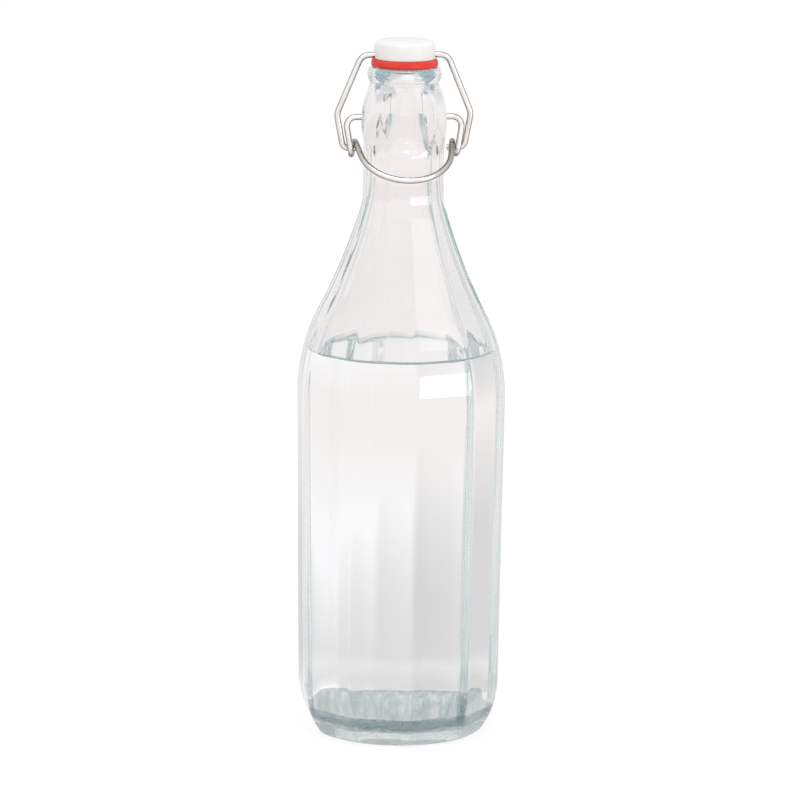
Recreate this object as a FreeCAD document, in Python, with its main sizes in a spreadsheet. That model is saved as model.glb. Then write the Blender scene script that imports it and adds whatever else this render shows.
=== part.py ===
import FreeCAD, Part
import Sketcher
import os
from math import asin, atan2, cos, pi, radians, sin, sqrt, tan

# One-litre swing-top bottle with ten flat faces, its wire closure and its stopper.
# Millimetres and degrees. +Z is up, the bottle stands on Z = 0 and its axis is the Z axis.
# The closure's wires lie left and right (X), and the lever's grip hangs at the front (-Y).

document = FreeCAD.newDocument("swing_top_bottle")
Vector = FreeCAD.Vector
X_AXIS = Vector(1, 0, 0)

# ---------------------------------------------------------------- driving dimensions

SIZES = [
    # alias, value, what it is
    ("facets", 10, "flat faces round the bottle"),
    ("body_width", 94.2, "across corners, where the shoulder starts"),
    ("foot_radius", 33.5, "outer edge of the ring that the bottle stands on"),
    ("foot_width", 2.5, "width of that ring"),
    ("punt_depth", 6.0, "hollow under the base"),
    ("heel_radius", 7.0, "tight curve at the foot"),
    ("heel_turn", 58.0, "angle of the tight curve"),
    ("heel_sweep", 40.0, "wide curve from there to the straight side"),
    ("side_length", 127.5, "straight side, heel to shoulder"),
    ("shoulder_radius", 82.0, "convex curve of the shoulder"),
    ("shoulder_slope", 27.5, "steepest slope of the shoulder"),
    ("throat_slope", 17.0, "slope where the neck's curve starts"),
    ("throat_radius", 29.5, "curve into the neck"),
    ("neck_width", 36.3, "across corners"),
    ("neck_length", 20.4, "straight neck, up to the finish"),
    ("wall", 3.0, "glass at the middle of a face"),
    ("heel_wall", 4.6, "the same at the foot of a face"),
    ("neck_wall", 4.6, "the same in the straight neck"),
    ("base_thickness", 3.5, "glass over the top of the punt"),
    ("floor_rise", 2.5, "crown of the floor inside"),
    ("inner_heel", 7.0, "curve from floor to wall inside"),
    ("finish_radius", 17.4, "foot of the thick glass that holds the closure"),
    ("finish_chamfer", 0.6, "step under the finish"),
    ("finish_bulge", 34.5, "radius of the finish's barrel curve"),
    ("finish_length", 26.6, "finish, up to the collar"),
    ("collar_radius", 15.15, "waist under the lip"),
    ("collar_length", 1.2, "height of that waist"),
    ("lip_height", 6.6, "rounded bead of the mouth"),
    ("lip_bulge", 5.2, "radius of the bead"),
    ("lip_radius", 15.9, "bead under its top edge"),
    ("lip_edge", 1.0, "rounding of the top edge"),
    ("bore_radius", 9.3, "mouth"),
    ("seat_width", 2.0, "bevel that the gasket closes on"),
    ("bore_start", 18.6, "narrowing to the mouth, from the straight neck's foot"),
    ("bore_slope", 20.0, "steepest slope of the narrowing"),
    ("panel_foot", 15.6, "flats at the finish's front and back, from the axis at their foot"),
    ("panel_top", 13.8, "the same at their top"),
    ("pivot_height", 12.2, "lever's pivot above the finish's foot"),
    ("dimple_floor", 16.2, "blind holes that the lever's ends turn in, from the axis"),
    ("dimple_reach", 6.0, "length of the cut that makes each of them"),
    ("wire_diameter", 2.7, "lever and bail"),
    ("running_clearance", 0.1, "radial, wherever a wire turns in something"),
    ("end_clearance", 0.4, "between a wire's end and the glass"),
    ("seal_gap", 0.3, "between the gasket and the glass"),
    ("leg_spread", 26.2, "lever's legs from the axis, at the bends"),
    ("leg_bend", 4.0, "bend between pin and leg"),
    ("leg_slope", 9.5, "inward lean of legs, eyes and grip arms"),
    ("eye_drop", 13.8, "lever's eyes below its pivot"),
    ("toggle_offset", 0.8, "eyes behind the pivot, which keeps the closure shut"),
    ("grip_length", 25.5, "lever's grip, from the eyes to its front"),
    ("grip_slope", 32.7, "grip below the horizontal"),
    ("bail_foot", 26.9, "bail's arms from the axis, at the eyes"),
    ("bail_waist", 29.8, "bail's arms at their widest"),
    ("bail_waist_height", 15.2, "widest point above the eyes"),
    ("bail_shoulder", 19.0, "bail's arms from the axis, at the stopper"),
    ("bail_foot_bend", 3.0, "bend at the eyes"),
    ("bail_waist_bend", 7.0, "bend at the widest point"),
    ("bail_shoulder_bend", 5.0, "bend beside the stopper"),
    ("bail_tip", 19.3, "ends of the bail from the axis"),
    ("head_radius", 13.5, "stopper's head"),
    ("head_above", 6.6, "head above the bail"),
    ("head_below", 1.75, "head below the bail"),
    ("head_edge", 2.2, "rounding of the head's top"),
    ("stem_radius", 5.5, "stopper's stem, through the gasket"),
    ("button_radius", 7.2, "button that keeps the gasket on the stem"),
    ("button_height", 2.2, "height of that button"),
    ("button_edge", 0.6, "rounding of the button"),
    ("gasket_radius", 14.6, "gasket's rim"),
    ("gasket_rim", 3.2, "thickness of the rim"),
    ("gasket_edge", 0.9, "rounding of the rim"),
    ("gasket_cone", 2.6, "depth of the cone that fills the seat"),
    ("cone_clearance", 0.3, "between the cone's top edge and the seat's"),
]

# Radii and levels that follow from the driving dimensions.
PLACES = [
    ("half_face", "180 / Sizes.facets"),
    ("body_corner", "Sizes.body_width / 2"),
    ("heel_knee", "Sizes.foot_radius + Sizes.heel_radius * sin(Sizes.heel_turn)"),
    ("heel_knee_level", "Sizes.heel_radius * (1 - cos(Sizes.heel_turn))"),
    ("heel_run", "Sizes.heel_sweep * (1 - sin(Sizes.heel_turn))"),
    ("heel_rise", "Sizes.heel_sweep * cos(Sizes.heel_turn)"),
    ("side_foot", "heel_knee + heel_run"),
    ("side_foot_level", "heel_knee_level + heel_rise"),
    ("shoulder_level", "side_foot_level + Sizes.side_length"),
    ("shoulder_end", "body_corner - Sizes.shoulder_radius * (1 - cos(Sizes.shoulder_slope))"),
    ("shoulder_end_level", "shoulder_level + Sizes.shoulder_radius * sin(Sizes.shoulder_slope)"),
    ("neck_corner", "Sizes.neck_width / 2"),
    ("throat_start", "neck_corner + Sizes.throat_radius * (1 - cos(Sizes.throat_slope))"),
    ("sweep_radius", "(shoulder_end - throat_start)"
                     " / (cos(Sizes.throat_slope) - cos(Sizes.shoulder_slope))"),
    ("throat_start_level", "shoulder_end_level"
                           " + sweep_radius * (sin(Sizes.shoulder_slope) - sin(Sizes.throat_slope))"),
    ("neck_level", "throat_start_level + Sizes.throat_radius * sin(Sizes.throat_slope)"),
    ("finish_level", "neck_level + Sizes.neck_length"),
    ("barrel_level", "finish_level + Sizes.finish_chamfer"),
    ("collar_level", "finish_level + Sizes.finish_length"),
    ("bead_level", "collar_level + Sizes.collar_length"),
    ("lip_level", "bead_level + Sizes.lip_height"),
    ("lip_edge_level", "lip_level - Sizes.lip_edge"),
    ("lip_top_radius", "Sizes.lip_radius - Sizes.lip_edge"),
    # the flat faces: the same curves seen square to a face
    ("face_share", "cos(half_face)"),
    ("side_foot_face", "side_foot * face_share"),
    ("body_face", "body_corner * face_share"),
    ("heel_face", "side_foot_face - heel_run"),
    ("heel_face_tail", "heel_face - heel_knee_level / tan(Sizes.heel_turn)"),
    ("shoulder_end_face", "shoulder_end * face_share"),
    ("throat_start_face", "throat_start * face_share"),
    ("neck_face", "neck_corner * face_share"),
    ("cutter_radius", "body_corner * 1.2"),
    # the inside, one wall in from the faces
    ("punt_radius", "Sizes.foot_radius - Sizes.foot_width"),
    ("punt_curve", "(punt_radius ^ 2 + Sizes.punt_depth ^ 2) / (2 * Sizes.punt_depth)"),
    ("floor_level", "Sizes.punt_depth + Sizes.base_thickness - Sizes.floor_rise"),
    ("floor_crown", "floor_level + Sizes.floor_rise"),
    ("side_foot_inside", "side_foot_face - Sizes.heel_wall"),
    ("floor_radius", "side_foot_inside - Sizes.inner_heel"),
    ("floor_curve", "(floor_radius ^ 2 + Sizes.floor_rise ^ 2) / (2 * Sizes.floor_rise)"),
    ("inner_heel_level", "floor_level + Sizes.inner_heel"),
    ("body_inside", "body_face - Sizes.wall"),
    ("shoulder_end_inside", "shoulder_end_face - Sizes.wall * cos(Sizes.shoulder_slope)"),
    ("shoulder_end_inside_level", "shoulder_end_level - Sizes.wall * sin(Sizes.shoulder_slope)"),
    ("throat_start_inside", "throat_start_face - Sizes.wall * cos(Sizes.throat_slope)"),
    ("throat_start_inside_level", "throat_start_level - Sizes.wall * sin(Sizes.throat_slope)"),
    ("neck_inside", "neck_face - Sizes.neck_wall"),
    ("shoulder_curve_inside", "Sizes.shoulder_radius - Sizes.wall"),
    ("sweep_inside", "sweep_radius + Sizes.wall"),
    ("throat_curve_inside", "(throat_start_inside - neck_inside) / (1 - cos(Sizes.throat_slope))"),
    ("neck_inside_level", "throat_start_inside_level"
                          " + throat_curve_inside * sin(Sizes.throat_slope)"),
    ("narrowing_level", "neck_level + Sizes.bore_start"),
    ("narrowing_radius", "(neck_inside - Sizes.bore_radius) / (2 * (1 - cos(Sizes.bore_slope)))"),
    ("narrowing_middle", "(neck_inside + Sizes.bore_radius) / 2"),
    ("narrowing_middle_level", "narrowing_level + narrowing_radius * sin(Sizes.bore_slope)"),
    ("bore_level", "narrowing_level + 2 * narrowing_radius * sin(Sizes.bore_slope)"),
    ("seat_level", "lip_level - Sizes.seat_width"),
    ("seat_radius", "Sizes.bore_radius + Sizes.seat_width"),
    ("above_lip", "lip_level + Sizes.lip_edge"),
    # the closure's axes
    ("wire_radius", "Sizes.wire_diameter / 2"),
    ("hole_radius", "wire_radius + Sizes.running_clearance"),
    ("pivot_level", "finish_level + Sizes.pivot_height"),
    ("pin_tip", "Sizes.dimple_floor + Sizes.end_clearance"),
    ("eye_level", "pivot_level - sqrt(Sizes.eye_drop ^ 2 - Sizes.toggle_offset ^ 2)"),
    ("eye_radius", "hole_radius + wire_radius"),
    ("bail_level", "lip_level + Sizes.seal_gap + Sizes.gasket_rim + Sizes.head_below"),
    ("bail_lean", "atan(Sizes.toggle_offset / (bail_level - eye_level))"),
    ("bail_height", "sqrt((bail_level - eye_level) ^ 2 + Sizes.toggle_offset ^ 2)"),
    # the stopper and gasket, measured from the bail's top run: down is negative
    ("head_foot", "0 - Sizes.head_below"),
    ("head_edge_level", "Sizes.head_above - Sizes.head_edge"),
    ("head_flat", "Sizes.head_radius - Sizes.head_edge"),
    ("rim_foot", "head_foot - Sizes.gasket_rim"),
    ("cone_radius", "seat_radius - Sizes.cone_clearance"),
    ("cone_foot", "rim_foot - Sizes.gasket_cone"),
    ("cone_tip", "cone_radius - Sizes.gasket_cone"),
    ("button_foot", "cone_foot - Sizes.button_height"),
    ("button_edge_level", "button_foot + Sizes.button_edge"),
    ("button_flat", "Sizes.button_radius - Sizes.button_edge"),
    ("slot_left", "0 - hole_radius"),
    ("head_width", "2 * Sizes.head_radius"),
    ("gasket_flat", "Sizes.gasket_radius - Sizes.gasket_edge"),
    ("rim_low", "rim_foot + Sizes.gasket_edge"),
    ("rim_high", "head_foot - Sizes.gasket_edge"),
]


def add_sheet(name, rows):
    """Write one row per value: its name, its cell with that alias, and a note if it has one."""
    sheet = document.addObject("Spreadsheet::Sheet", name)
    for number, (alias, content, *note) in enumerate(rows, start=1):
        sheet.set(f"A{number}", alias)
        sheet.set(f"B{number}", content if isinstance(content, str) else str(content))
        sheet.setAlias(f"B{number}", alias)
        if note:
            sheet.set(f"C{number}", note[0])
    document.recompute()
    return sheet


sizes = add_sheet("Sizes", SIZES)
places = add_sheet("Places", [(alias, "=" + formula) for alias, formula in PLACES])
sheet_of = {alias: sizes for alias, *_ in SIZES} | {alias: places for alias, _ in PLACES}


def size(alias):
    """The value of one cell of either sheet."""
    return float(sheet_of[alias].get(alias))


def cell(alias):
    """The expression that reads that cell."""
    return f"{sheet_of[alias].Name}.{alias}"


# ---------------------------------------------------------------- sketches

def origin_feature(body, role):
    """One of the body's own origin planes or axes."""
    return next(feature for feature in body.Origin.OriginFeatures if feature.Role == role)


def add_body(label):
    body = document.addObject("PartDesign::Body", label)
    body.Label = label
    return body


def add_sketch(body, name, role="XZ_Plane"):
    sketch = body.newObject("Sketcher::SketchObject", name)
    sketch.AttachmentSupport = [(origin_feature(body, role), "")]
    sketch.MapMode = "FlatFace"
    return sketch


def bind(sketch, constraint, name, expression):
    """Add a constraint and tie its value to the sheets."""
    index = sketch.addConstraint(constraint)
    sketch.renameConstraint(index, name)
    sketch.setExpression(f"Constraints.{name}", expression)


def arc_between(start, end, radius, turn):
    """The arc that turns left (1) or right (-1) from start to end, and the ends' numbers on it."""
    chord = end - start
    left = Vector(-chord.y, chord.x, 0).normalize()
    centre = (start + end) / 2 + left * (turn * sqrt(max(radius ** 2 - chord.Length ** 2 / 4, 0)))
    circle = Part.Circle(centre, Vector(0, 0, 1), radius)
    first, last = (start, end) if turn > 0 else (end, start)
    first_angle, last_angle = circle.parameter(first), circle.parameter(last)
    if last_angle < first_angle:
        last_angle += 2 * pi
    arc = Part.ArcOfCircle(circle, first_angle, last_angle)
    return (arc, 1, 2) if turn > 0 else (arc, 2, 1)


def add_edge(sketch, number, start, end, curve):
    """Add the edge from start to end: a line, or an arc of a bound radius. Returns its ends."""
    if not curve:
        return sketch.addGeometry(Part.LineSegment(start, end)), 1, 2
    radius, turn = curve
    arc, tail, head = arc_between(start, end, size(radius), turn)
    edge = sketch.addGeometry(arc)
    bind(sketch, Sketcher.Constraint("Radius", edge, size(radius)), f"radius_{number}", cell(radius))
    return edge, tail, head


def place_point(sketch, number, edge, end, across, up):
    """Hold a corner at its named place, or on a sketch axis where that place is 0."""
    for alias, kind, axis, name in ((across, "DistanceX", -2, "across"), (up, "DistanceY", -1, "up")):
        if alias:
            constraint = Sketcher.Constraint(kind, -1, 1, edge, end, size(alias))
            bind(sketch, constraint, f"{name}_{number}", cell(alias))
        else:
            sketch.addConstraint(Sketcher.Constraint("PointOnObject", edge, end, axis))


def draw(sketch, corners, closed=True):
    """Draw an outline through corners, each (across, up) with cell names, or 0 on an axis.

    The edge that leads to a corner is straight, or an arc if the corner also names the arc's
    radius and its turn: 1 to the left, -1 to the right.
    """
    points = [Vector(size(across) if across else 0, size(up) if up else 0, 0)
              for across, up, *curve in corners]
    edges = []
    for number in range(1, len(corners) + closed):
        target = number % len(corners)
        curve = corners[target][2:]
        edges.append(add_edge(sketch, number, points[number - 1], points[target], curve))
    for number, (edge, tail, head) in enumerate(edges):
        place_point(sketch, number, edge, tail, *corners[number][:2])
        if number or closed:
            previous, _, previous_head = edges[number - 1]
            sketch.addConstraint(
                Sketcher.Constraint("Coincident", previous, previous_head, edge, tail))
    if not closed:
        edge, _, head = edges[-1]
        place_point(sketch, len(edges), edge, head, *corners[-1][:2])


def draw_bent(sketch, corners):
    """Draw a wire's centre line through sharp corners, each (across, up) and rounded if it adds
    the cell of its bend's radius."""
    points = [Vector(size(across) if across else 0, size(up) if up else 0, 0)
              for across, up, *bend in corners]
    runs = [sketch.addGeometry(Part.LineSegment(start, end))
            for start, end in zip(points, points[1:])]
    for number, (across, up, *bend) in enumerate(corners):
        if number == 0:
            place_point(sketch, number, runs[0], 1, across, up)
            continue
        place_point(sketch, number, runs[number - 1], 2, across, up)
        if number < len(runs):
            sketch.addConstraint(
                Sketcher.Constraint("Coincident", runs[number - 1], 2, runs[number], 1))
    for number, (across, up, *bend) in enumerate(corners):
        if bend:
            arc = sketch.GeometryCount
            sketch.fillet(runs[number - 1], runs[number], points[number - 1], points[number + 1],
                          size(bend[0]), True, True)
            constraint = Sketcher.Constraint("Radius", arc, size(bend[0]))
            bind(sketch, constraint, f"bend_{number}", cell(bend[0]))


def revolve(body, kind, sketch, name):
    """Turn a sketch about its own vertical axis: Revolution adds it, Groove cuts it away."""
    feature = body.newObject(f"PartDesign::{kind}", name)
    feature.Profile = sketch
    feature.ReferenceAxis = (sketch, ["V_Axis"])
    feature.Angle = 360


def mirror(body, name, feature, role):
    """Repeat a feature on the other side of one of the body's origin planes."""
    pair = body.newObject("PartDesign::Mirrored", name)
    pair.Originals = [feature]
    pair.MirrorPlane = (origin_feature(body, role), [""])
    body.Tip = pair


# ---------------------------------------------------------------- bottle

LEFT, RIGHT = 1, -1  # the way an arc turns

bottle = add_body("bottle")

blank_outline = add_sketch(bottle, "blank_outline")
draw(blank_outline, [
    (0, "punt_depth"),
    ("punt_radius", 0, "punt_curve", RIGHT),
    ("foot_radius", 0),
    ("heel_knee", "heel_knee_level", "heel_radius", LEFT),
    ("side_foot", "side_foot_level", "heel_sweep", LEFT),
    ("body_corner", "shoulder_level"),
    ("shoulder_end", "shoulder_end_level", "shoulder_radius", LEFT),
    ("throat_start", "throat_start_level", "sweep_radius", RIGHT),
    ("neck_corner", "neck_level", "throat_radius", RIGHT),
    ("neck_corner", "finish_level"),
    ("finish_radius", "barrel_level"),
    ("collar_radius", "collar_level", "finish_bulge", LEFT),
    ("collar_radius", "bead_level"),
    ("lip_radius", "lip_edge_level", "lip_bulge", LEFT),
    ("lip_top_radius", "lip_level", "lip_edge", LEFT),
    (0, "lip_level"),
])
revolve(bottle, "Revolution", blank_outline, "blank")

face_outline = add_sketch(bottle, "face_outline")
draw(face_outline, [
    ("heel_face_tail", 0),
    ("cutter_radius", 0),
    ("cutter_radius", "finish_level"),
    ("neck_face", "finish_level"),
    ("neck_face", "neck_level"),
    ("throat_start_face", "throat_start_level", "throat_radius", LEFT),
    ("shoulder_end_face", "shoulder_end_level", "sweep_radius", LEFT),
    ("body_face", "shoulder_level", "shoulder_radius", RIGHT),
    ("side_foot_face", "side_foot_level"),
    ("heel_face", "heel_knee_level", "heel_sweep", RIGHT),
])
face_cut = bottle.newObject("PartDesign::Pocket", "face_cut")
face_cut.Profile = face_outline
face_cut.SideType = "Symmetric"
face_cut.setExpression("Length", cell("body_corner"))

faces = bottle.newObject("PartDesign::PolarPattern", "faces")
faces.Originals = [face_cut]
faces.Axis = (origin_feature(bottle, "Z_Axis"), [""])
faces.Angle = 360
faces.setExpression("Occurrences", cell("facets"))
bottle.Tip = faces

panel_outline = add_sketch(bottle, "panel_outline", "YZ_Plane")
draw(panel_outline, [
    ("panel_foot", "finish_level"),
    ("body_corner", "finish_level"),
    ("body_corner", "collar_level"),
    ("panel_top", "collar_level"),
])
panel_cut = bottle.newObject("PartDesign::Pocket", "panel_cut")
panel_cut.Profile = panel_outline
panel_cut.SideType = "Symmetric"
panel_cut.setExpression("Length", cell("neck_width"))
mirror(bottle, "panels", panel_cut, "XZ_Plane")

dimple = bottle.newObject("PartDesign::SubtractiveCylinder", "dimple")
dimple.setExpression("Radius", cell("hole_radius"))
dimple.setExpression("Height", cell("dimple_reach"))
dimple.Placement.Rotation = FreeCAD.Rotation(Vector(0, 0, 1), X_AXIS)
dimple.setExpression("Placement.Base.x", cell("dimple_floor"))
dimple.setExpression("Placement.Base.z", cell("pivot_level"))
mirror(bottle, "dimples", dimple, "YZ_Plane")

cavity_outline = add_sketch(bottle, "cavity_outline")
draw(cavity_outline, [
    (0, "floor_crown"),
    ("floor_radius", "floor_level", "floor_curve", RIGHT),
    ("side_foot_inside", "inner_heel_level", "inner_heel", LEFT),
    ("body_inside", "shoulder_level"),
    ("shoulder_end_inside", "shoulder_end_inside_level", "shoulder_curve_inside", LEFT),
    ("throat_start_inside", "throat_start_inside_level", "sweep_inside", RIGHT),
    ("neck_inside", "neck_inside_level", "throat_curve_inside", RIGHT),
    ("neck_inside", "narrowing_level"),
    ("narrowing_middle", "narrowing_middle_level", "narrowing_radius", LEFT),
    ("bore_radius", "bore_level", "narrowing_radius", RIGHT),
    ("bore_radius", "seat_level"),
    ("seat_radius", "lip_level"),
    ("seat_radius", "above_lip"),
    (0, "above_lip"),
])
revolve(bottle, "Groove", cavity_outline, "cavity")

# ---------------------------------------------------------------- stopper and gasket

stopper = add_body("stopper")
stopper.Placement.Base = Vector(0, 0, size("bail_level"))

stopper_outline = add_sketch(stopper, "stopper_outline")
draw(stopper_outline, [
    (0, "button_foot"),
    ("button_flat", "button_foot"),
    ("button_radius", "button_edge_level", "button_edge", LEFT),
    ("button_radius", "cone_foot"),
    ("stem_radius", "cone_foot"),
    ("stem_radius", "head_foot"),
    ("head_radius", "head_foot"),
    ("head_radius", "head_edge_level"),
    ("head_flat", "head_above", "head_edge", LEFT),
    (0, "head_above"),
])
revolve(stopper, "Revolution", stopper_outline, "turned_form")

slot_outline = add_sketch(stopper, "slot_outline", "YZ_Plane")
draw(slot_outline, [
    ("slot_left", "head_foot"),
    ("hole_radius", "head_foot"),
    ("hole_radius", 0),
    (0, "hole_radius", "hole_radius", LEFT),
    ("slot_left", 0, "hole_radius", LEFT),
])
slot = stopper.newObject("PartDesign::Pocket", "slot")
slot.Profile = slot_outline
slot.SideType = "Symmetric"
slot.setExpression("Length", cell("head_width"))

gasket = add_body("gasket")
gasket.Placement.Base = Vector(0, 0, size("bail_level"))

gasket_outline = add_sketch(gasket, "gasket_outline")
draw(gasket_outline, [
    ("stem_radius", "cone_foot"),
    ("cone_tip", "cone_foot"),
    ("cone_radius", "rim_foot"),
    ("gasket_flat", "rim_foot"),
    ("gasket_radius", "rim_low", "gasket_edge", LEFT),
    ("gasket_radius", "rim_high"),
    ("gasket_flat", "head_foot", "gasket_edge", LEFT),
    ("stem_radius", "head_foot"),
])
revolve(gasket, "Revolution", gasket_outline, "ring")

# ---------------------------------------------------------------- bail

# One wire in one plane: half of it is swept from the middle of its top run, then mirrored.
bail_wire = add_body("bail_wire")
bail_wire.Placement = FreeCAD.Placement(
    Vector(0, size("toggle_offset"), size("eye_level")),
    FreeCAD.Rotation(X_AXIS, size("bail_lean")))
bail_path = add_sketch(bail_wire, "bail_path")
draw_bent(bail_path, [
    (0, "bail_height"),
    ("bail_shoulder", "bail_height", "bail_shoulder_bend"),
    ("bail_waist", "bail_waist_height", "bail_waist_bend"),
    ("bail_foot", 0, "bail_foot_bend"),
    ("bail_tip", 0),
])
bail_section = add_sketch(bail_wire, "bail_section", "YZ_Plane")
circle = bail_section.addGeometry(Part.Circle(
    Vector(0, size("bail_height"), 0), Vector(0, 0, 1), size("wire_radius")))
bind(bail_section, Sketcher.Constraint("Radius", circle, size("wire_radius")),
     "section_radius", cell("wire_radius"))
place_point(bail_section, 0, circle, 3, 0, "bail_height")
half_bail = bail_wire.newObject("PartDesign::AdditivePipe", "half_bail")
half_bail.Profile = bail_section
half_bail.Spine = bail_path
mirror(bail_wire, "whole_bail", half_bail, "YZ_Plane")

# ---------------------------------------------------------------- lever

# One wire: pin, bend, leg, an eye of nearly one turn round the bail's end, grip arm, the
# grip's round front, and the same mirrored. Its centre line is drawn from the pivot.

EYE_ARCS = 6  # pairs of arcs that make one eye


def leaning(length, across, depth, height):
    """A step of that length seen from the side, in the direction given there, that leans in."""
    return Vector(-length * tan(radians(size("leg_slope"))) * across, length * depth, length * height)


def mirrored(points):
    return [Vector(-point.x, point.y, point.z) for point in points]


def arc_through(points):
    return Part.Arc(*points).toShape()


def tangent_arc(start, direction, end):
    """The arc from start to end that leaves start in that direction."""
    chord = end - start
    normal = (chord - direction * chord.dot(direction)).normalize()
    radius = chord.Length ** 2 / (2 * chord.dot(normal))
    half_turn = atan2(chord.dot(normal), chord.dot(direction))
    middle = start + normal * (radius * (1 - cos(half_turn))) + direction * (radius * sin(half_turn))
    return arc_through([start, middle, end])


def arc_pair(start, start_direction, end, end_direction):
    """Two tangent arcs that join two points with the directions given there."""
    step = end - start
    along = step.dot(start_direction + end_direction)
    spread = 2 * (1 - start_direction.dot(end_direction))
    reach = (sqrt(along ** 2 + spread * step.dot(step)) - along) / spread
    middle = (start + end + (start_direction - end_direction) * reach) / 2
    last = tangent_arc(end, -end_direction, middle)
    return [tangent_arc(start, start_direction, middle), last]


def eye(points, directions):
    """The arcs that follow those points."""
    arcs = []
    for number in range(len(points) - 1):
        arcs += arc_pair(points[number], directions[number], points[number + 1], directions[number + 1])
    return arcs


def lever_centre_line():
    eye_radius, slope = size("eye_radius"), radians(size("leg_slope"))
    eye_y, eye_z = size("toggle_offset"), size("eye_level") - size("pivot_level")
    # seen from the side, the leg runs down its own line to touch the eye's circle in front
    tilt = asin(eye_radius / size("eye_drop")) - asin(size("toggle_offset") / size("eye_drop"))
    slant = radians(size("grip_slope"))
    down, back = (-sin(tilt), -cos(tilt)), (cos(tilt), -sin(tilt))
    leg_length = sqrt(size("eye_drop") ** 2 - eye_radius ** 2)
    corner = Vector(size("leg_spread"), 0, 0)
    leg_end = corner + leaning(leg_length, 1, *down)
    leg_direction = (leg_end - corner).normalize()

    # the bend from the pin into the leg
    turn = X_AXIS.getAngle(leg_direction)
    inward = (leg_direction - X_AXIS * leg_direction.x).normalize()
    bend = size("leg_bend")
    bend_start = corner - X_AXIS * (bend * tan(turn / 2))
    bend_points = [
        bend_start + inward * (bend * (1 - cos(angle))) + X_AXIS * (bend * sin(angle))
        for angle in (0, turn / 2, turn)]

    # the eye: a helix about the bail's end, from the leg to the grip's direction
    eye_turn = 1.5 * pi + tilt + slant
    eye_points, eye_directions = [], []
    for number in range(EYE_ARCS + 1):
        angle = eye_turn * number / EYE_ARCS
        eye_points.append(Vector(
            leg_end.x - eye_radius * angle * tan(slope),
            eye_y + eye_radius * (down[0] * sin(angle) - back[0] * cos(angle)),
            eye_z + eye_radius * (down[1] * sin(angle) - back[1] * cos(angle))))
        eye_directions.append(Vector(
            -tan(slope),
            down[0] * cos(angle) + back[0] * sin(angle),
            down[1] * cos(angle) + back[1] * sin(angle)).normalize())

    # the grip: two arms that lean in, and a round front that touches both
    reach = size("grip_length")
    start = eye_points[-1]
    round_radius = (start.x * cos(slope) - reach * sin(slope)) / (1 - sin(slope))
    forward = Vector(0, -cos(slant), -sin(slant))
    centre = Vector(0, start.y, start.z) + forward * (reach - round_radius)
    arm_end = centre + X_AXIS * (round_radius * cos(slope)) + forward * (round_radius * sin(slope))
    front = centre + forward * round_radius

    right_side = [
        Part.makeLine(Vector(size("pin_tip"), 0, 0), bend_points[0]),
        arc_through(bend_points),
        Part.makeLine(bend_points[-1], leg_end),
        *eye(eye_points, eye_directions),
        Part.makeLine(start, arm_end),
    ]
    left_side = [
        Part.makeLine(*mirrored([arm_end, start])),
        *eye(mirrored(reversed(eye_points)),
             mirrored([-direction for direction in reversed(eye_directions)])),
        Part.makeLine(*mirrored([leg_end, bend_points[-1]])),
        arc_through(mirrored(reversed(bend_points))),
        Part.makeLine(*mirrored([bend_points[0], Vector(size("pin_tip"), 0, 0)])),
    ]
    round_front = arc_through([arm_end, front, *mirrored([arm_end])])
    return Part.Wire(right_side + [round_front] + left_side)


lever_path = document.addObject("Part::Feature", "lever_path")
lever_path.Shape = lever_centre_line()

lever_section = document.addObject("Part::Circle", "lever_section")
lever_section.setExpression("Radius", cell("wire_radius"))
lever_section.Placement = FreeCAD.Placement(
    Vector(size("pin_tip"), 0, 0), FreeCAD.Rotation(Vector(0, 0, 1), X_AXIS))

lever_wire = document.addObject("Part::Sweep", "lever_wire")
lever_wire.Sections = [lever_section]
lever_wire.Spine = (lever_path, [f"Edge{number + 1}" for number in range(len(lever_path.Shape.Edges))])
lever_wire.Solid = True
lever_wire.Placement.Base = Vector(0, 0, size("pivot_level"))

# ---------------------------------------------------------------- check and write

PARTS = [bottle, stopper, gasket, bail_wire, lever_wire]

document.recompute()
for item in document.Objects:
    if {"Invalid", "Error"} & set(item.State):
        raise RuntimeError(f"{item.Name} failed: {item.State}")
for part in PARTS:
    if part.Shape.isNull() or not part.Shape.isValid() or len(part.Shape.Solids) != 1:
        raise RuntimeError(f"{part.Label} is not one valid solid")

os.makedirs("parts", exist_ok=True)
for part in PARTS:
    part.Shape.exportStep(f"parts/{part.Label}.step")
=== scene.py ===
"""Looks of the swing-top bottle: faceted glass, water, bright wires, white stopper, red gasket.

Lengths are millimetres in the parts and metres in the studio. Every mesh is in metres, in the
frame of the CAD model.
"""
from math import atan2, ceil, cos, hypot, pi, radians, sin, sqrt

import bpy
import numpy as np
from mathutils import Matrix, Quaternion, Vector
from mathutils import noise as perlin


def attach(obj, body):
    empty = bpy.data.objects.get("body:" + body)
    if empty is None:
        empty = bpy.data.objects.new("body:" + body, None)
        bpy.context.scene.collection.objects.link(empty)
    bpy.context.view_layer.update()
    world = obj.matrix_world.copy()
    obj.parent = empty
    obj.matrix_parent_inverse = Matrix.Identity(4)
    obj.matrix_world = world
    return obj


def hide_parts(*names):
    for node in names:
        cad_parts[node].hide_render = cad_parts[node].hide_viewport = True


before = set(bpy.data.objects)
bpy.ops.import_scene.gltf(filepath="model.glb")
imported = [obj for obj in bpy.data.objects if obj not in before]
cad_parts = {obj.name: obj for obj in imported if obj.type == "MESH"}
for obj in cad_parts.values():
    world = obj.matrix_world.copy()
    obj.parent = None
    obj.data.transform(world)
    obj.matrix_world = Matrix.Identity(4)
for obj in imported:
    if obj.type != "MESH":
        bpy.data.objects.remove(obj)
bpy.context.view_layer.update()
scene = bpy.context.scene

MM = 0.001
WHITE = (1, 1, 1, 1)
# Face marks: where the water touches the glass, and where the glass is rough, pitted and painted
# with grey shade.
WET, MOTTLED_AND_SHADED = "against_water", "mottled_and_shaded"
GLASS_IOR = 1.52
GLASS_DEPTH_COLOR = (0.3, 0.62, 0.68, 1)
GLASS_DENSITY = 2.2
WATER_IOR = 1.333

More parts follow.
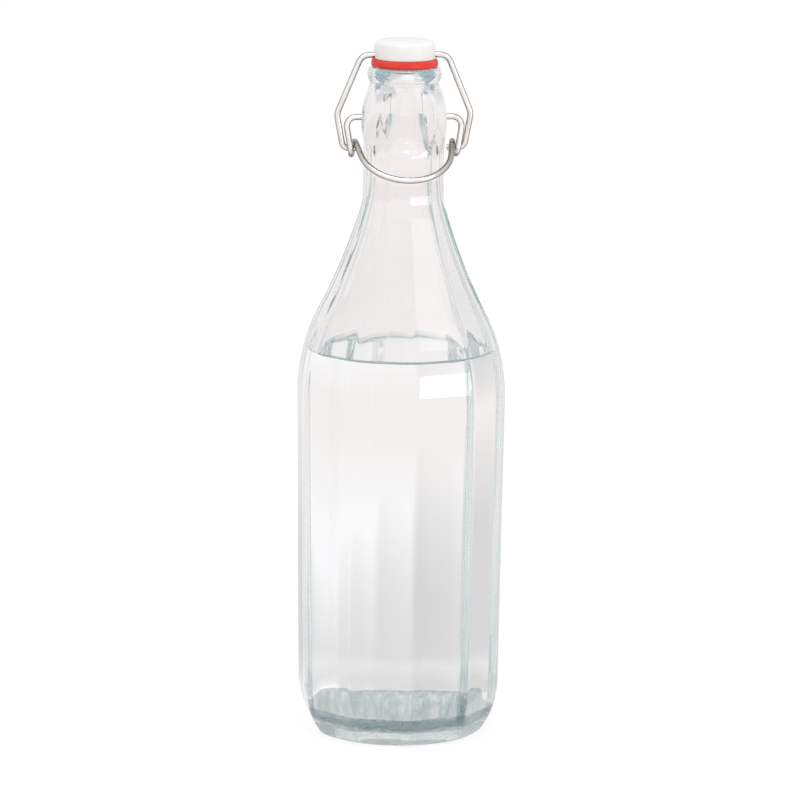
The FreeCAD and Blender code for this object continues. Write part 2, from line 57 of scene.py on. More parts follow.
# ---------------------------------------------------------------- outlines (radius, height[, bend])
# A corner that adds a bend is reached by an arc of that radius, to the left if it is positive.

OUTSIDE = [
    (33.5, 0), (39.436, 3.291, 7), (45.514, 24.487, 40), (47.1, 151.987), (37.835, 189.851, 82),
    (19.439, 234.816, -265.476), (18.15, 243.441, -29.5), (18.15, 263.841),
]
FACES = [
    (35.153, 0), (37.209, 3.291), (43.287, 24.487, 40), (44.795, 151.987), (35.983, 189.851, 82),
    (18.488, 234.816, -265.476), (17.262, 243.441, -29.5), (17.262, 263.841),
]
FINISH = [(17.4, 264.441), (15.15, 290.441, 34.5)]
PANELS = [(15.6, 264.441), (13.8, 290.441)]
LIP = [(15.15, 291.241), (15.3, 291.741, 0.6), (15.9, 297.041, 5.2), (14.7, 298.241, 1.2)]
SEAT = [(11.3, 298.241), (9.3, 296.241)]
BORE = [
    (9.3, 281.106), (10.981, 271.574, 27.871), (12.662, 262.041, -27.871), (12.662, 253.724),
    (15.619, 233.939, 67.673), (33.322, 188.465, 268.476), (41.795, 151.987, -79), (38.687, 14),
    (31.687, 7, -7), (0.2, 9.5, 202.06),
]
PUNT = [(0.2, 6), (31, 0, -83.083)]
FOOT_RADII = (31.0, 32.2)

GASKET = [
    (5.6, 301.7), (13.8, 301.7), (14.65, 300.7, -0.95), (14.75, 299.5), (14.1, 298.55, -0.85),
    (11.25, 298.3), (8.75, 295.75), (8.2, 295.85, -0.6), (5.6, 295.85),
]
STOPPER = [
    (0.3, 310.091), (8.0, 310.05), (11.3, 309.85), (13.3, 308.0, -2.3), (13.5, 305.8),
    (13.5, 302.3), (13.0, 301.8, -0.55), (5.5, 301.8), (5.5, 296.0), (6.7, 295.9),
    (7.2, 295.3, -0.6), (7.2, 294.3), (6.6, 293.741, -0.6), (0.3, 293.741),
]

# Where the lever's ends sit in the glass, and where the bail passes through the stopper.
PIVOT = 276.041
DIMPLE_FLOOR = 16.2
DIMPLE_RADIUS = 1.45
DIMPLE_REACH = 24
BAIL_LEVEL = 303.491
SLOT_FOOT = 300
SLOT_REACH = 20

# The steps from the neck's faces to the round finish, and from there to the lip.
STEP = (262.4, 267.2)
COLLAR = (288.6, 291.2)
STEP_RINGS = 12
STEP_EASE = -0.5

# The inside is round in the neck and swells between the corners in the body: where the swelling
# starts, and over how many millimetres it grows.
SWELL = 0.022
LEAST_SWELL = 0.001
SWELL_RADII = (12, 20)
SWELL_HEIGHTS = (9, 14)

# The uneven floor inside the bottle.
FLOOR_TOP = 13.8
PEBBLE = 3.4
PEBBLE_DEPTH = 0.3
PEBBLE_WIDTH = 0.012
PEBBLE_FADE = 2.5

# The water lies a little inside the glass, so that no air shows between them.
WATER_LEVEL = 171.5
WATER_OVERLAP = 0.12
MENISCUS = 1.7
MENISCUS_REACH = 3.2
MENISCUS_SHARES = (1.0, 0.985, 0.96, 0.92, 0.86, 0.78, 0.68, 0.56, 0.42, 0.26, 0.0)
LEVEL_SHARES = (0.9, 0.7, 0.5, 0.3, 0.1, 0.01)

# ---------------------------------------------------------------- fineness of the meshes

FACETS = 10
COLUMNS_PER_FACET = 24
CROWDING = 1.6
CRISPNESS = 150
INSIDE_CRISPNESS = 70
BODY_STEP, LIP_STEP, CLOSURE_STEP = 1.2, 0.5, 0.25
SHORTEST_STEP = 0.12
WIDEST_TURN = radians(6)
SAME_HEIGHT = 0.12
HOLE_SIDES = 32
SHARP_ANGLE = radians(50)


def traced(corners, step=BODY_STEP):
    """Points along an outline, at most `step` mm apart on arcs and 4 steps apart on straights."""
    points = [corners[0][:2]]
    for (r0, z0), (r1, z1, *bend) in zip([corner[:2] for corner in corners], corners[1:]):
        chord = hypot(r1 - r0, z1 - z0)
        if not bend:
            count = max(1, ceil(chord / (4 * step)))
            points += [(r0 + (r1 - r0) * i / count, z0 + (z1 - z0) * i / count)
                       for i in range(1, count + 1)]
            continue
        radius, side = abs(bend[0]), 1 if bend[0] > 0 else -1
        rise = side * sqrt(max(radius ** 2 - chord ** 2 / 4, 0)) / chord
        cr = (r0 + r1) / 2 - (z1 - z0) * rise
        cz = (z0 + z1) / 2 + (r1 - r0) * rise
        start = atan2(z0 - cz, r0 - cr)
        sweep = (atan2(z1 - cz, r1 - cr) - start) * side % (2 * pi) * side
        count = max(2, ceil(radius * abs(sweep) / step), ceil(abs(sweep) / WIDEST_TURN))
        count = min(count, max(2, ceil(radius * abs(sweep) / SHORTEST_STEP)))
        points += [(cr + radius * cos(start + sweep * i / count),
                    cz + radius * sin(start + sweep * i / count)) for i in range(1, count + 1)]
    return points


def column_angles():
    """Angles of the mesh's columns, closer together towards the corners between the faces."""
    half = np.arange(1, COLUMNS_PER_FACET // 2 + 1) / (COLUMNS_PER_FACET // 2)
    offsets = (1 - (1 - half) ** CROWDING) * pi / FACETS
    local = np.concatenate([-offsets[::-1], [0], offsets[:-1]])
    centres = -pi / 2 + (np.arange(FACETS) + 0.5) * 2 * pi / FACETS
    return (centres[:, None] + local[None, :]).ravel()


# A gauge holds, for each column and each flat, the cosine of the angle between them.
ANGLES = column_angles()
COSINES, SINES = np.cos(ANGLES), np.sin(ANGLES)
FACE_GAUGE = np.cos((ANGLES[:, None] + pi / 2)
                    - (np.arange(FACETS)[None, :] + 0.5) * 2 * pi / FACETS)
PANEL_GAUGE = np.cos(ANGLES[:, None] - np.array([-pi / 2, pi / 2])[None, :])


def section(radius, gauge=None, apothem=0.0, crispness=CRISPNESS):
    """Radius at each column of a circle cut by flats, with softened corners."""
    scale = np.full(len(ANGLES), 1 / radius) ** crispness
    if gauge is not None:
        scale = scale + ((np.maximum(gauge, 0) / apothem) ** crispness).sum(axis=1)
    return scale ** (-1 / crispness)


def round_rings(outline, step=BODY_STEP):
    """Round rings along an outline."""
    return [(section(radius), height) for radius, height in traced(outline, step)]


def placed(name, data):
    """An object that holds the data, in the scene."""
    holder = bpy.data.objects.new(name, data)
    scene.collection.objects.link(holder)
    return holder


def lathed(name, rings, close_start=False, close_end=False, material_of=None, looped=False):
    """A skin through rings of (radius at each column, height), smooth shaded.

    It is closed by a face at either end, or by joining the last ring to the first.
    """
    rows = [np.column_stack([radii * COSINES, radii * SINES, np.full(len(ANGLES), height)
                             if np.isscalar(height) else height])
            for radii, height in rings]
    vertices = np.concatenate(rows) * MM
    count = len(ANGLES)
    faces, slots = [], []
    for row in range(len(rings) if looped else len(rings) - 1):
        low, high = row * count, (row + 1) % len(rings) * count
        for i in range(count):
            j = (i + 1) % count
            faces.append((low + i, low + j, high + j, high + i))
            slots.append(material_of[row] if material_of else 0)
    if close_start:
        faces.append(tuple(reversed(range(count))))
        slots.append(material_of[0] if material_of else 0)
    if close_end:
        faces.append(tuple(range((len(rings) - 1) * count, len(rings) * count)))
        slots.append(material_of[-1] if material_of else 0)
    mesh = bpy.data.meshes.new(name)
    mesh.from_pydata(vertices.tolist(), [], faces)
    mesh.polygons.foreach_set("use_smooth", [True] * len(faces))
    mesh.polygons.foreach_set("material_index", slots)
    mesh.update()
    return placed(name, mesh)


# ---------------------------------------------------------------- materials

def new_material(name):
    material = bpy.data.materials.new(name)
    material.use_nodes = True
    nodes = material.node_tree.nodes
    return material, nodes, material.node_tree.links, nodes["Principled BSDF"]


def noise(nodes, links, scale, detail=3.0, stretch=(1, 1, 1)):
    """Noise in the object's own coordinates, in cycles per metre."""
    place = nodes.new("ShaderNodeTexCoord")
    mapping = nodes.new("ShaderNodeMapping")
    mapping.inputs["Scale"].default_value = stretch
    texture = nodes.new("ShaderNodeTexNoise")
    texture.inputs["Scale"].default_value = scale
    texture.inputs["Detail"].default_value = detail
    links.new(place.outputs["Object"], mapping.inputs["Vector"])
    links.new(mapping.outputs["Vector"], texture.inputs["Vector"])
    return texture.outputs["Fac"]


def facing(nodes):
    """0 where the surface faces the eye, 1 where it turns away."""
    weight = nodes.new("ShaderNodeLayerWeight")
    weight.inputs["Blend"].default_value = 0.5
    return weight.outputs["Facing"]


def marked(nodes, name):
    """The number that mark_faces gave to each face."""
    attribute = nodes.new("ShaderNodeAttribute")
    attribute.attribute_name = name
    return attribute.outputs["Fac"]


def ramp(nodes, links, factor, stops):
    """A colour between stops of (position, colour), the outermost first and last."""
    node = nodes.new("ShaderNodeValToRGB")
    node.color_ramp.elements[0].position, node.color_ramp.elements[0].color = stops[0]
    node.color_ramp.elements[1].position, node.color_ramp.elements[1].color = stops[-1]
    for position, color in stops[1:-1]:
        node.color_ramp.elements.new(position).color = color
    links.new(factor, node.inputs["Fac"])
    return node.outputs["Color"]


def span(nodes, links, factor, low, high):
    """A value that goes from low to high as the factor goes from 0 to 1."""
    node = nodes.new("ShaderNodeMapRange")
    node.inputs["To Min"].default_value = low
    node.inputs["To Max"].default_value = high
    links.new(factor, node.inputs["Value"])
    return node.outputs["Result"]


def combined(nodes, links, operation, first, second):
    """Two values put together by a Math node."""
    node = nodes.new("ShaderNodeMath")
    node.operation = operation
    links.new(first, node.inputs[0])
    links.new(second, node.inputs[1])
    return node.outputs[0]


def tinted(nodes, links, color, tint):
    """One colour multiplied by another."""
    node = nodes.new("ShaderNodeMix")
    node.data_type, node.blend_type = "RGBA", "MULTIPLY"
    node.inputs["Factor"].default_value = 1.0
    links.new(color, node.inputs["A"])
    links.new(tint, node.inputs["B"])
    return node.outputs["Result"]


def roughen(nodes, links, shader, scale, low, high):
    """Roughness that varies finely from low to high."""
    links.new(span(nodes, links, noise(nodes, links, scale, 4), low, high),
              shader.inputs["Roughness"])


def bump(nodes, links, shader, heights):
    """Bumps of (height output, depth in metres), one on another."""
    normal = None
    for height, depth in heights:
        node = nodes.new("ShaderNodeBump")
        node.inputs["Strength"].default_value = 1.0
        node.inputs["Distance"].default_value = depth
        links.new(height, node.inputs["Height"])
        if normal:
            links.new(normal, node.inputs["Normal"])
        normal = node.outputs["Normal"]
    links.new(normal, shader.inputs["Normal"])


def glass_material():
    """Clear glass, blue-green in its depth, rough and pitted under the foot and on the floor
    inside, with painted grey shade in patches there.

    The faces that the water touches, marked by the attribute, refract as glass against water.
    """
    material, nodes, links, shader = new_material("clear_glass")
    shader.inputs["Transmission Weight"].default_value = 1.0
    shader.inputs["IOR"].default_value = GLASS_IOR
    links.new(span(nodes, links, marked(nodes, WET), GLASS_IOR, GLASS_IOR / WATER_IOR),
              shader.inputs["IOR"])
    slant = ramp(nodes, links, facing(nodes),
                 [(0.0, WHITE), (0.7, (0.99, 0.995, 0.995, 1)), (1.0, (0.905, 0.964, 0.975, 1))])
    mottled_and_shaded = marked(nodes, MOTTLED_AND_SHADED)
    shade_and_rough_patches = combined(nodes, links, "MULTIPLY", mottled_and_shaded, noise(nodes, links, 300, 4))
    # Painted shade: the base colour turns grey in patches on the marked faces, standing in for the
    # table's shadow seen through the foot.
    painted_base_shade = ramp(nodes, links, shade_and_rough_patches,
                [(0.0, WHITE), (0.3, (0.55, 0.65, 0.655, 1)), (0.7, (0.26, 0.36, 0.37, 1))])
    links.new(tinted(nodes, links, slant, painted_base_shade), shader.inputs["Base Color"])
    links.new(span(nodes, links, shade_and_rough_patches, 0.0, 0.4), shader.inputs["Roughness"])
    ripple = noise(nodes, links, 28, 2, (1, 1, 0.45))
    pitting = combined(nodes, links, "MULTIPLY", mottled_and_shaded, noise(nodes, links, 420, 3))
    bump(nodes, links, shader, [(ripple, 0.00012), (pitting, 0.0006)])
    absorption = nodes.new("ShaderNodeVolumeAbsorption")
    absorption.inputs["Color"].default_value = GLASS_DEPTH_COLOR
    absorption.inputs["Density"].default_value = GLASS_DENSITY
    links.new(absorption.outputs["Volume"], nodes["Material Output"].inputs["Volume"])
    return material


def water_material(name, ior):
    material, nodes, links, shader = new_material(name)
    shader.inputs["Transmission Weight"].default_value = 1.0
    shader.inputs["IOR"].default_value = ior
    shader.inputs["Roughness"].default_value = 0.0
    links.new(ramp(nodes, links, noise(nodes, links, 10, 1),
                   [(0.2, (0.995, 1, 1, 1)), (0.8, WHITE)]),
              shader.inputs["Base Color"])
    return material


def wire_material():
    """Bright drawn steel, with painted shade on its edges where it turns away, standing in for the
    dark surroundings it reflects.
    """
    material, nodes, links, shader = new_material("drawn_wire")
    shader.inputs["Metallic"].default_value = 1.0
    # Painted shade: the base colour darkens where the wire turns away from the eye, in place of
    # reflected dark surroundings.
    painted_edge_shade = ramp(nodes, links, facing(nodes),
                 [(0.06, (0.98, 0.975, 0.965, 1)), (0.22, (0.72, 0.69, 0.65, 1)),
                  (0.45, (0.36, 0.335, 0.3, 1)), (1.0, (0.3, 0.29, 0.27, 1))])
    drawn = ramp(nodes, links, noise(nodes, links, 260, 3),
                 [(0.25, (0.86, 0.86, 0.86, 1)), (0.75, WHITE)])
    links.new(tinted(nodes, links, painted_edge_shade, drawn), shader.inputs["Base Color"])
    roughen(nodes, links, shader, 900, 0.12, 0.26)
    bump(nodes, links, shader, [(noise(nodes, links, 700, 2), 0.000004)])
    return material


def stopper_material():
    """Glossy white plastic, with a faint warm shade painted on its rim where it turns away."""
    material, nodes, links, shader = new_material("white_moulding")
    cloudy = ramp(nodes, links, noise(nodes, links, 120, 3),
                  [(0.3, (0.91, 0.9, 0.885, 1)), (0.7, (0.94, 0.93, 0.915, 1))])
    # Painted shade: a warm brownish rim where the surface turns away from the eye.
    painted_rim_shade = ramp(nodes, links, facing(nodes),
               [(0.0, WHITE), (0.86, WHITE), (0.95, (0.8, 0.72, 0.7, 1)),
                (1.0, (0.62, 0.52, 0.5, 1))])
    links.new(tinted(nodes, links, cloudy, painted_rim_shade), shader.inputs["Base Color"])
    shader.inputs["Subsurface Weight"].default_value = 0.15
    shader.inputs["Subsurface Radius"].default_value = (0.002, 0.0018, 0.0015)
    shader.inputs["Subsurface Scale"].default_value = 1.0
    roughen(nodes, links, shader, 500, 0.28, 0.36)
    bump(nodes, links, shader, [(noise(nodes, links, 900, 2), 0.0000015)])
    return material


def gasket_material():
    """Red silicone, slightly satin."""
    material, nodes, links, shader = new_material("red_rubber")
    links.new(ramp(nodes, links, noise(nodes, links, 300, 4),
                   [(0.25, (0.78, 0.035, 0.022, 1)), (0.75, (0.88, 0.07, 0.045, 1))]),
              shader.inputs["Base Color"])
    shader.inputs["Specular IOR Level"].default_value = 0.3
    roughen(nodes, links, shader, 900, 0.4, 0.56)
    bump(nodes, links, shader, [(noise(nodes, links, 1500, 4), 0.00003)])
    return material


# ---------------------------------------------------------------- glass

def merged_heights(*outlines):
    """The heights of the outlines' points, without those that nearly coincide."""
    heights = sorted(height for outline in outlines for _, height in outline)
    kept = [heights[0]]
    for height in heights[1:]:
        if height - kept[-1] > SAME_HEIGHT:
            kept.append(height)
    return kept


def profile(outline, heights):
    """An outline's radius at each height."""
    radii, levels = zip(*outline)
    return np.interp(heights, levels, radii)


def flat_sided_rings(corners, flats, gauge, heights):
    """Rings whose corners follow one outline and whose flats follow another."""
    return [(section(radius, gauge, apothem), height)
            for height, radius, apothem in zip(heights, profile(corners, heights),
                                               profile(flats, heights))]


def blended(first, last, low, high):
    """Rings that slope from one section, at the low height, to another at the high one."""
    rings = []
    for i in range(STEP_RINGS + 1):
        share = i / STEP_RINGS
        climb = share + sin(2 * pi * share) / (2 * pi) * STEP_EASE
        rings.append((first + (last - first) * share, low + (high - low) * climb))
    return rings


def outside_rings():
    """Rings from the foot up to the lip."""
    corners, flats = traced(OUTSIDE), traced(FACES)
    body = flat_sided_rings(corners, flats, FACE_GAUGE, merged_heights(corners, flats))
    corners, flats = traced(FINISH), traced(PANELS)
    finish = flat_sided_rings(corners, flats, PANEL_GAUGE, merged_heights(corners))
    lip = round_rings(LIP, LIP_STEP)
    body = [ring for ring in body if ring[1] < STEP[0]]
    finish = [ring for ring in finish if STEP[1] < ring[1] < COLLAR[0]]
    body += blended(body[-1][0], finish[0][0], *STEP)[:-1]
    finish += blended(finish[-1][0], lip[0][0], *COLLAR)[1:-1]
    return body + finish + lip


def eased(value, start, reach):
    """0 up to a start, 1 from a reach beyond it, and evenly rising between them."""
    return np.clip((value - start) / reach, 0, 1)


def inside_rings():
    """Rings from the mouth down to the floor inside."""
    rings = round_rings(SEAT, LIP_STEP)
    for radius, height in traced(BORE):
        bulge = 1 + SWELL * eased(radius, *SWELL_RADII) * eased(height, *SWELL_HEIGHTS)
        rings.append((section(radius * bulge, FACE_GAUGE, radius, INSIDE_CRISPNESS)
                      if bulge > 1 + LEAST_SWELL else section(radius), height))
    return rings


def pebbled(ring):
    """A ring of the floor inside with its height uneven, as the mould leaves it."""
    radii, height = ring
    share = eased(FLOOR_TOP - height, 0, PEBBLE_FADE)
    depths = np.array([PEBBLE_DEPTH * perlin.noise(Vector((r * c, r * s, height)) / PEBBLE)
                       for r, c, s in zip(radii, COSINES, SINES)])
    return radii * (1 - PEBBLE_WIDTH * share * depths), height + share * depths


def mark_faces(piece, name, rows):
    """A number for the faces of each row of rings, and for the first and last face."""
    marks = piece.data.attributes.new(name, "FLOAT", "FACE")
    values = np.repeat(np.array(rows, dtype=float), len(ANGLES))
    marks.data.foreach_set("value", np.concatenate([values, [values[0], values[-1]]]))


def contact_ring(rings, height):
    """Puts a ring exactly at a height among falling rings, and returns its number."""
    for number in range(len(rings) - 1):
        high, low = rings[number][1], rings[number + 1][1]
        if low < height <= high:
            share = (high - height) / (high - low)
            radii = rings[number][0] * (1 - share) + rings[number + 1][0] * share
            rings.insert(number + 1, (radii, height))
            return number + 1


def circle(height, radius):
    """A circle's points (y, z)."""
    turns = np.linspace(0, 2 * pi, HOLE_SIDES, endpoint=False)
    return [(radius * cos(turn), height + radius * sin(turn)) for turn in turns]


def slot_section(height, radius, foot):
    """The points (y, z) of a slot with a round top, open down to its foot."""
    turns = np.linspace(0, pi, HOLE_SIDES * 3 // 4)
    return [(radius * cos(turn), height + radius * sin(turn)) for turn in turns] + [
        (-radius, foot), (radius, foot)]


def prism(name, points, start, end):
    """A solid of one section (y, z) between two distances along X."""
    mesh = bpy.data.meshes.new(name)
    count = len(points)
    vertices = [Vector((x, y, z)) * MM for x in (start, end) for y, z in points]
    faces = [tuple(reversed(range(count))), tuple(range(count, 2 * count))]
    faces += [(i, (i + 1) % count, (i + 1) % count + count, i + count) for i in range(count)]
    mesh.from_pydata(vertices, [], faces)
    return placed(name, mesh)


def carve(piece, cutters):
    """Cuts the solids out of the piece, and keeps its edges crisp there."""
    for cutter in cutters:
        modifier = piece.modifiers.new(cutter.name, "BOOLEAN")
        modifier.solver = "EXACT"
        modifier.object = cutter
    evaluated = piece.evaluated_get(bpy.context.evaluated_depsgraph_get())
    whole = piece.data
    piece.data = bpy.data.meshes.new_from_object(evaluated)
    piece.modifiers.clear()
    piece.data.name = whole.name
    bpy.data.meshes.remove(whole)
    for cutter in cutters:
        bpy.data.meshes.remove(cutter.data)
    piece.data.set_sharp_from_angle(angle=SHARP_ANGLE)


outside = outside_rings()
inside = inside_rings()
contact = contact_ring(inside, WATER_LEVEL + MENISCUS)
inside = [pebbled(ring) if ring[1] < FLOOR_TOP else ring for ring in inside]
punt = round_rings(PUNT)
foot = [(section(radius), 0.0) for radius in FOOT_RADII]
rings = punt[:-1] + foot + outside + inside
wetted_from = len(rings) - len(inside) + contact
floor_from = next(row for row, (_, height) in enumerate(rings)
                  if row > wetted_from and np.min(height) < FLOOR_TOP)
rows = range(len(rings) - 1)

bottle_glass = lathed("bottle_glass", rings, True, True)
mark_faces(bottle_glass, WET, [row >= wetted_from for row in rows])
# The faces under the foot and on the floor inside get roughness, pitting and painted grey shade.
mark_faces(bottle_glass, MOTTLED_AND_SHADED, [row < len(punt) - 1 or row >= floor_from for row in rows])
bottle_glass.data.materials.append(glass_material())
carve(bottle_glass, [prism("pin_hole", circle(PIVOT, DIMPLE_RADIUS), *reach)
                     for reach in ((-DIMPLE_REACH, -DIMPLE_FLOOR), (DIMPLE_FLOOR, DIMPLE_REACH))])
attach(bottle_glass, "bottle")
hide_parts("bottle")

# ---------------------------------------------------------------- water
# Where it touches the glass, the glass's own faces refract for both, and the water's do not.

wall = [(radii + WATER_OVERLAP, height) for radii, height in inside[contact:]]
wall[-1] = (wall[-1][0], wall[-1][1] - WATER_OVERLAP)
surface = [(inside[contact][0] - MENISCUS_REACH * (1 - share), WATER_LEVEL + MENISCUS * share ** 3)
           for share in MENISCUS_SHARES]
surface += [(surface[-1][0] * share, WATER_LEVEL) for share in LEVEL_SHARES]
surface.reverse()
sides = [0] * (len(surface) - 1) + [1] * len(wall)
water = lathed("water", surface + wall, True, True, sides)
water.data.flip_normals()
water.data.materials.append(water_material("water_surface", WATER_IOR))
water.data.materials.append(water_material("water_against_glass", 1.0))
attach(water, "bottle")

# ---------------------------------------------------------------- wires, stopper and gasket

wire_finish = wire_material()
for node in ("lever_wire", "bail_wire"):
    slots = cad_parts[node].data.materials
    slots.clear()
    slots.append(wire_finish)

cap = lathed("stopper_cap", round_rings(STOPPER, CLOSURE_STEP), True, True)
cap.data.flip_normals()
carve(cap, [prism("wire_slot", slot_section(BAIL_LEVEL, DIMPLE_RADIUS, SLOT_FOOT),
                  -SLOT_REACH, SLOT_REACH)])
cap.data.materials.append(stopper_material())
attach(cap, "stopper")
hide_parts("stopper")

seal = lathed("gasket_seal", round_rings(GASKET, CLOSURE_STEP), looped=True)
seal.data.flip_normals()
seal.data.materials.append(gasket_material())
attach(seal, "stopper")
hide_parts("gasket")

# ---------------------------------------------------------------- studio (metres and degrees)

WARM_WHITE = (0.86, 0.81, 0.80, 1)
FLOOR_WHITE = (0.9, 0.895, 0.89, 1)
SKY = (0.97, 0.975, 0.98, 1)
SKY_STRENGTH = 0.8
FLAG = (0.4, 0.49, 0.52, 1)
FLAG_EDGES = (0.72, 0.95)

# Painted pools of light and painted shadows on the floor: centre, radii, turn, gain and colour. In
# turn: a painted pool of light behind, the bottle's painted shadow behind on the left, a painted
# lighter ring round the foot, and a painted contact shadow under it.
LIGHT_AND_SHADOW_POOLS = [
    ((0.12, 0.34), (0.42, 0.38), 0, 1.6, (0.93, 0.92, 0.94, 1)),
    ((-0.15, 0.28), (0.33, 0.5), 20, 1.6, (0.57, 0.56, 0.565, 1)),
    ((0, 0), (0.17, 0.17), 0, 2.2, (0.92, 0.91, 0.91, 1)),
    ((0, 0), (0.058, 0.058), 0, 3.0, (0.8, 0.83, 0.83, 1)),
]
FLOOR_RADIUS = 8
FLOOR_SIDES = 64

# How much of the floor glows, and how strongly: for rays that light things, and for rays that
# see it directly, in a reflection or through glass.
GLOW_SHARE = (0.35, 0.8)
GLOW_STRENGTH = (0.9, 1.1)

# Lamps: name, azimuth, elevation, distance, width, height and power in watts.
LAMPS = [
    ("window", 44, 2.5, 1.6, 0.5, 0.36, 2.0),
    ("streak", 46, 36, 1.7, 0.22, 0.8, 0.8),
    ("top", -15, 66, 1.5, 0.9, 0.9, 5),
]
LAMP_TARGET = (0, 0, 0.16)

CAMERA_ANGLES = (-8.0, 10.3)
CAMERA_ROLL = 0.65
CAMERA_DISTANCE = 2.6
CAMERA_CENTRE = 0.155
CAMERA_AIM = 0.1493
CAMERA_ASIDE = 0.0004
CAMERA_LENS = 263.7
CAMERA_SENSOR = 36.0

# Rays cross many walls of glass and water, and too few bounces leave black patches.
BOUNCES = 64
TRANSPARENT_BOUNCES = 16


def seen_directly(nodes, links, others=()):
    """1 for the rays of the camera, and of the other kinds that are named."""
    path = nodes.new("ShaderNodeLightPath")
    output = path.outputs["Is Camera Ray"]
    for other in others:
        output = combined(nodes, links, "MAXIMUM", output, path.outputs[other])
    return output


def side_tone(nodes, links):
    """Warm white, with a dark flag on the left and one on the right."""
    place = nodes.new("ShaderNodeTexCoord")
    parts = nodes.new("ShaderNodeSeparateXYZ")
    side = nodes.new("ShaderNodeMath")
    side.operation = "ABSOLUTE"
    links.new(place.outputs["Generated"], parts.inputs["Vector"])
    links.new(parts.outputs["X"], side.inputs[0])
    return ramp(nodes, links, side.outputs[0],
                [(FLAG_EDGES[0], WARM_WHITE), (FLAG_EDGES[1], FLAG)])


def build_world():
    """A soft sky that looks white by itself and in gloss, and flagged through glass."""
    world = bpy.data.worlds.new("studio")
    scene.world = world
    world.use_nodes = True
    nodes, links = world.node_tree.nodes, world.node_tree.links
    path = nodes.new("ShaderNodeLightPath")
    shown = nodes["Background"]
    shown.inputs["Color"].default_value = SKY
    shown.inputs["Strength"].default_value = SKY_STRENGTH
    for kind in ("Is Glossy Ray", "Is Transmission Ray", "Is Camera Ray"):
        tone = nodes.new("ShaderNodeBackground")
        tone.inputs["Color"].default_value = WHITE
        if kind == "Is Transmission Ray":
            links.new(side_tone(nodes, links), tone.inputs["Color"])
        mix = nodes.new("ShaderNodeMixShader")
        links.new(path.outputs[kind], mix.inputs["Fac"])
        links.new(shown.outputs[0], mix.inputs[1])
        links.new(tone.outputs[0], mix.inputs[2])
        shown = mix
    links.new(shown.outputs[0], nodes["World Output"].inputs["Surface"])


def soft_spot(nodes, links, centre, radii, turn):
    """1 in the middle of an ellipse on the floor, 0 at its edge."""
    place = nodes.new("ShaderNodeTexCoord")
    mapping = nodes.new("ShaderNodeMapping")
    mapping.vector_type = "TEXTURE"
    mapping.inputs["Location"].default_value = (*centre, 0)
    mapping.inputs["Rotation"].default_value = (0, 0, radians(turn))
    mapping.inputs["Scale"].default_value = (*radii, 1)
    spot = nodes.new("ShaderNodeTexGradient")
    spot.gradient_type = "SPHERICAL"
    links.new(place.outputs["Object"], mapping.inputs["Vector"])
    links.new(mapping.outputs["Vector"], spot.inputs["Vector"])
    return spot.outputs["Fac"]


def shade_over(nodes, links, color, share, shade):
    """A plain or a painted colour, with a shade laid over a share of it."""
    tone = nodes.new("ShaderNodeMix")
    tone.data_type = "RGBA"
    links.new(share, tone.inputs["Factor"])
    tone.inputs["B"].default_value = shade
    if isinstance(color, tuple):
        tone.inputs["A"].default_value = color
    else:
        links.new(color, tone.inputs["A"])
    return tone.outputs["Result"]


def painted_floor_shading(nodes, links):
    """Warm white, with painted pools of light and painted shadows behind the bottle and around its
    foot.
    """
    color = WARM_WHITE
    for centre, radii, turn, gain, shade in LIGHT_AND_SHADOW_POOLS:
        spot = soft_spot(nodes, links, centre, radii, turn)
        color = shade_over(nodes, links, color, span(nodes, links, spot, 0, gain), shade)
    return color


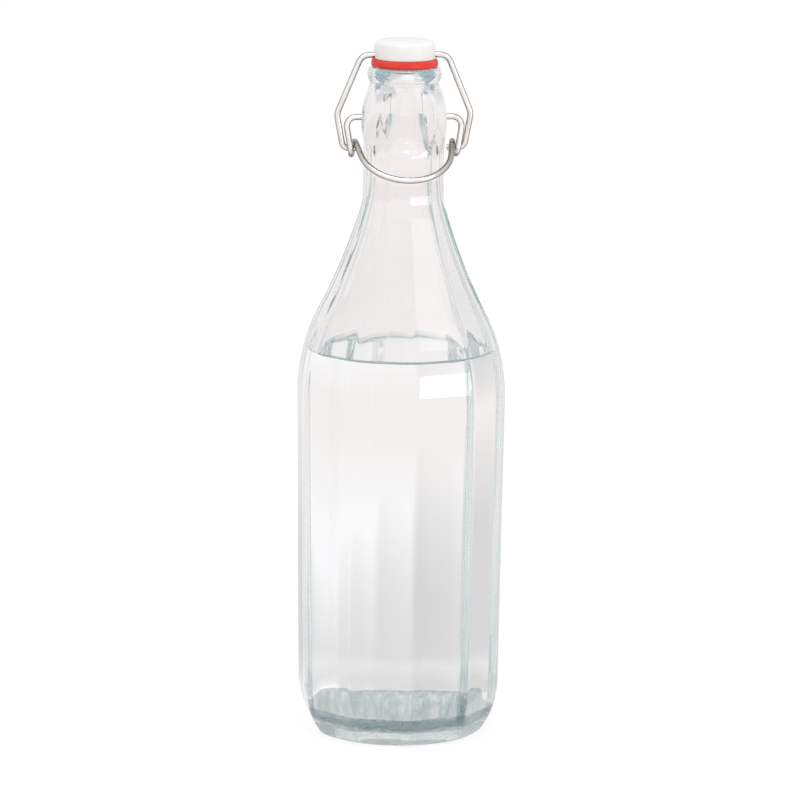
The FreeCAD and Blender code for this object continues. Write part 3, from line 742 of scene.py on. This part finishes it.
def build_floor():
    """A pale floor: plain white to the camera, and with painted pools of light and painted shadows
    in gloss, through glass and as light.
    """
    mesh = bpy.data.meshes.new("floor")
    ring = [(FLOOR_RADIUS * cos(a), FLOOR_RADIUS * sin(a), 0)
            for a in np.linspace(0, 2 * pi, FLOOR_SIDES, endpoint=False)]
    mesh.from_pydata(ring, [], [tuple(range(FLOOR_SIDES))])
    floor = placed("floor", mesh)
    material, nodes, links, shader = new_material("pale_floor")
    nodes.remove(shader)
    diffuse = nodes.new("ShaderNodeBsdfDiffuse")
    diffuse.inputs["Color"].default_value = FLOOR_WHITE
    glow = nodes.new("ShaderNodeEmission")
    painted_shading, by_camera = painted_floor_shading(nodes, links), seen_directly(nodes, links)
    links.new(shade_over(nodes, links, painted_shading, by_camera, WHITE), glow.inputs["Color"])
    mix = nodes.new("ShaderNodeMixShader")
    seen = seen_directly(nodes, links, ["Is Transmission Ray", "Is Glossy Ray"])
    links.new(span(nodes, links, seen, *GLOW_SHARE), mix.inputs["Fac"])
    links.new(span(nodes, links, seen, *GLOW_STRENGTH), glow.inputs["Strength"])
    links.new(diffuse.outputs[0], mix.inputs[1])
    links.new(glow.outputs[0], mix.inputs[2])
    links.new(mix.outputs[0], nodes["Material Output"].inputs["Surface"])
    floor.data.materials.append(material)


def direction(azimuth, elevation):
    """The way from the bottle to an azimuth, 0 in front and 90 on the right, in radians."""
    return Vector((sin(azimuth) * cos(elevation), -cos(azimuth) * cos(elevation), sin(elevation)))


def softbox(name, azimuth, elevation, distance, width, height, power):
    """An area lamp that faces the bottle, and is seen in its gloss but not through its glass."""
    lamp = bpy.data.lights.new(name, "AREA")
    lamp.shape = "RECTANGLE"
    lamp.size, lamp.size_y = width, height
    lamp.energy = power
    holder = placed(name, lamp)
    offset = direction(radians(azimuth), radians(elevation)) * distance
    holder.location = Vector(LAMP_TARGET) + offset
    holder.rotation_mode = "QUATERNION"
    holder.rotation_quaternion = (-offset).to_track_quat("-Z", "Y")
    holder.visible_camera = False
    holder.visible_transmission = False


def build_camera():
    azimuth, elevation = (radians(angle) for angle in CAMERA_ANGLES)
    data = bpy.data.cameras.new("camera")
    data.sensor_width = CAMERA_SENSOR
    data.lens = CAMERA_LENS
    data.clip_start, data.clip_end = 0.1, 60.0
    camera = placed("camera", data)
    back = direction(azimuth, elevation)
    right = Vector((cos(azimuth), sin(azimuth), 0))
    camera.location = Vector((0, 0, CAMERA_CENTRE)) + back * CAMERA_DISTANCE
    aim = Vector((0, 0, CAMERA_AIM)) - right * CAMERA_ASIDE
    turn = (aim - camera.location).to_track_quat("-Z", "Y")
    camera.rotation_mode = "QUATERNION"
    camera.rotation_quaternion = turn @ Quaternion((0, 0, 1), radians(CAMERA_ROLL))
    scene.camera = camera


build_world()
build_floor()
for lamp in LAMPS:
    softbox(*lamp)
build_camera()

scene.view_settings.view_transform = "Standard"
scene.cycles.max_bounces = BOUNCES
scene.cycles.transmission_bounces = BOUNCES
scene.cycles.glossy_bounces = BOUNCES
scene.cycles.transparent_max_bounces = TRANSPARENT_BOUNCES
